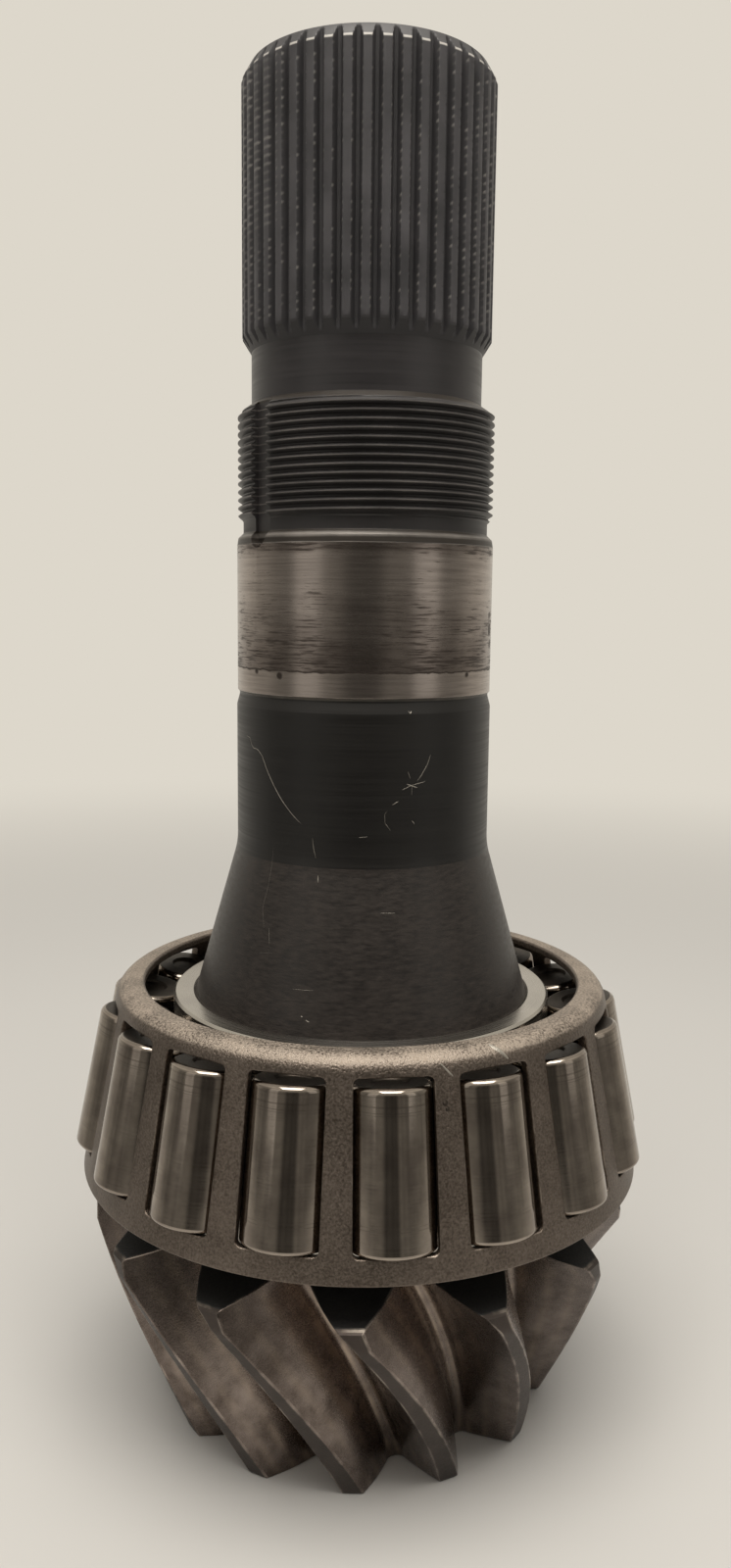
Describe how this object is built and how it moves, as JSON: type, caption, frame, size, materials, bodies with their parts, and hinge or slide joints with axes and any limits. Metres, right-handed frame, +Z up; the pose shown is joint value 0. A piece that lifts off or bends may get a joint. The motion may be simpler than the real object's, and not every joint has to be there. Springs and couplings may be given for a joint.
{
  "type": "bevel pinion gear",
  "caption": "Spiral bevel pinion forged in one with its stepped, splined shaft, with the inner ring, cage and rollers of its tapered head bearing pressed on behind the teeth.",
  "frame": {"origin": "on the shaft's axis, in the plane of the toe ends of the teeth, on which the pinion stands", "axes": "+Z up the shaft, from the teeth to the splined end; -Y towards the viewer of the picture"},
  "size_m": [0.1498, 0.1501, 0.3393],
  "materials": {
    "pinion_steel": "case-hardened steel, teeth satin, shaft black phosphated, bearing seat ground",
    "ring_steel": "hardened bearing steel, ground",
    "cage_steel": "pressed sheet steel, bead blasted and oiled",
    "roller_steel": "hardened bearing steel, polished"
  },
  "bodies": {
    "pinion": {"pinion_shaft": "pinion_steel", "bearing_inner_ring": "ring_steel"},
    "cage": {"bearing_cage": "cage_steel"},
    "roller_01": {"roller_01": "roller_steel"},
    "roller_02": {"roller_02": "roller_steel"},
    "roller_03": {"roller_03": "roller_steel"},
    "roller_04": {"roller_04": "roller_steel"},
    "roller_05": {"roller_05": "roller_steel"},
    "roller_06": {"roller_06": "roller_steel"},
    "roller_07": {"roller_07": "roller_steel"},
    "roller_08": {"roller_08": "roller_steel"},
    "roller_09": {"roller_09": "roller_steel"},
    "roller_10": {"roller_10": "roller_steel"},
    "roller_11": {"roller_11": "roller_steel"},
    "roller_12": {"roller_12": "roller_steel"},
    "roller_13": {"roller_13": "roller_steel"},
    "roller_14": {"roller_14": "roller_steel"},
    "roller_15": {"roller_15": "roller_steel"},
    "roller_16": {"roller_16": "roller_steel"},
    "roller_17": {"roller_17": "roller_steel"}
  },
  "joints": [
    {"name": "cage_spin", "type": "hinge", "parent": "pinion", "child": "cage", "pos_m": [0, 0, 0.08743], "axis": [0, 0, 1], "continuous": true},
    {"name": "roller_01_spin", "type": "hinge", "parent": "cage", "child": "roller_01", "pos_m": [0.0291, -0.05478, 0.09009], "axis": [-0.0806, 0.1517, 0.9851], "continuous": true},
    {"name": "roller_02_spin", "type": "hinge", "parent": "cage", "child": "roller_02", "pos_m": [0.04692, -0.04057, 0.09009], "axis": [-0.13, 0.1124, 0.9851], "continuous": true},
    {"name": "roller_03_spin", "type": "hinge", "parent": "cage", "child": "roller_03", "pos_m": [0.05841, -0.02088, 0.09009], "axis": [-0.1618, 0.0578, 0.9851], "continuous": true},
    {"name": "roller_04_spin", "type": "hinge", "parent": "cage", "child": "roller_04", "pos_m": [0.062, 0.00163, 0.09009], "axis": [-0.1717, -0.0045, 0.9851], "continuous": true},
    {"name": "roller_05_spin", "type": "hinge", "parent": "cage", "child": "roller_05", "pos_m": [0.05723, 0.02392, 0.09009], "axis": [-0.1585, -0.0662, 0.9851], "continuous": true},
    {"name": "roller_06_spin", "type": "hinge", "parent": "cage", "child": "roller_06", "pos_m": [0.04472, 0.04298, 0.09009], "axis": [-0.1239, -0.119, 0.9851], "continuous": true},
    {"name": "roller_07_spin", "type": "hinge", "parent": "cage", "child": "roller_07", "pos_m": [0.02618, 0.05623, 0.09009], "axis": [-0.0725, -0.1557, 0.9851], "continuous": true},
    {"name": "roller_08_spin", "type": "hinge", "parent": "cage", "child": "roller_08", "pos_m": [0.0041, 0.06189, 0.09009], "axis": [-0.0114, -0.1714, 0.9851], "continuous": true},
    {"name": "roller_09_spin", "type": "hinge", "parent": "cage", "child": "roller_09", "pos_m": [-0.01854, 0.05919, 0.09009], "axis": [0.0513, -0.1639, 0.9851], "continuous": true},
    {"name": "roller_10_spin", "type": "hinge", "parent": "cage", "child": "roller_10", "pos_m": [-0.03867, 0.0485, 0.09009], "axis": [0.1071, -0.1343, 0.9851], "continuous": true},
    {"name": "roller_11_spin", "type": "hinge", "parent": "cage", "child": "roller_11", "pos_m": [-0.05357, 0.03125, 0.09009], "axis": [0.1484, -0.0866, 0.9851], "continuous": true},
    {"name": "roller_12_spin", "type": "hinge", "parent": "cage", "child": "roller_12", "pos_m": [-0.06125, 0.00979, 0.09009], "axis": [0.1696, -0.0271, 0.9851], "continuous": true},
    {"name": "roller_13_spin", "type": "hinge", "parent": "cage", "child": "roller_13", "pos_m": [-0.06065, -0.01299, 0.09009], "axis": [0.168, 0.036, 0.9851], "continuous": true},
    {"name": "roller_14_spin", "type": "hinge", "parent": "cage", "child": "roller_14", "pos_m": [-0.05186, -0.03403, 0.09009], "axis": [0.1436, 0.0942, 0.9851], "continuous": true},
    {"name": "roller_15_spin", "type": "hinge", "parent": "cage", "child": "roller_15", "pos_m": [-0.03606, -0.05046, 0.09009], "axis": [0.0999, 0.1398, 0.9851], "continuous": true},
    {"name": "roller_16_spin", "type": "hinge", "parent": "cage", "child": "roller_16", "pos_m": [-0.0154, -0.06008, 0.09009], "axis": [0.0427, 0.1664, 0.9851], "continuous": true},
    {"name": "roller_17_spin", "type": "hinge", "parent": "cage", "child": "roller_17", "pos_m": [0.00734, -0.06159, 0.09009], "axis": [-0.0203, 0.1706, 0.9851], "continuous": true}
  ],
  "couplings": [
    {"joint": "roller_01_spin", "follows": "cage_spin", "ratio": 5.1951},
    {"joint": "roller_02_spin", "follows": "cage_spin", "ratio": 5.1951},
    {"joint": "roller_03_spin", "follows": "cage_spin", "ratio": 5.1951},
    {"joint": "roller_04_spin", "follows": "cage_spin", "ratio": 5.1951},
    {"joint": "roller_05_spin", "follows": "cage_spin", "ratio": 5.1951},
    {"joint": "roller_06_spin", "follows": "cage_spin", "ratio": 5.1951},
    {"joint": "roller_07_spin", "follows": "cage_spin", "ratio": 5.1951},
    {"joint": "roller_08_spin", "follows": "cage_spin", "ratio": 5.1951},
    {"joint": "roller_09_spin", "follows": "cage_spin", "ratio": 5.1951},
    {"joint": "roller_10_spin", "follows": "cage_spin", "ratio": 5.1951},
    {"joint": "roller_11_spin", "follows": "cage_spin", "ratio": 5.1951},
    {"joint": "roller_12_spin", "follows": "cage_spin", "ratio": 5.1951},
    {"joint": "roller_13_spin", "follows": "cage_spin", "ratio": 5.1951},
    {"joint": "roller_14_spin", "follows": "cage_spin", "ratio": 5.1951},
    {"joint": "roller_15_spin", "follows": "cage_spin", "ratio": 5.1951},
    {"joint": "roller_16_spin", "follows": "cage_spin", "ratio": 5.1951},
    {"joint": "roller_17_spin", "follows": "cage_spin", "ratio": 5.1951}
  ]
}
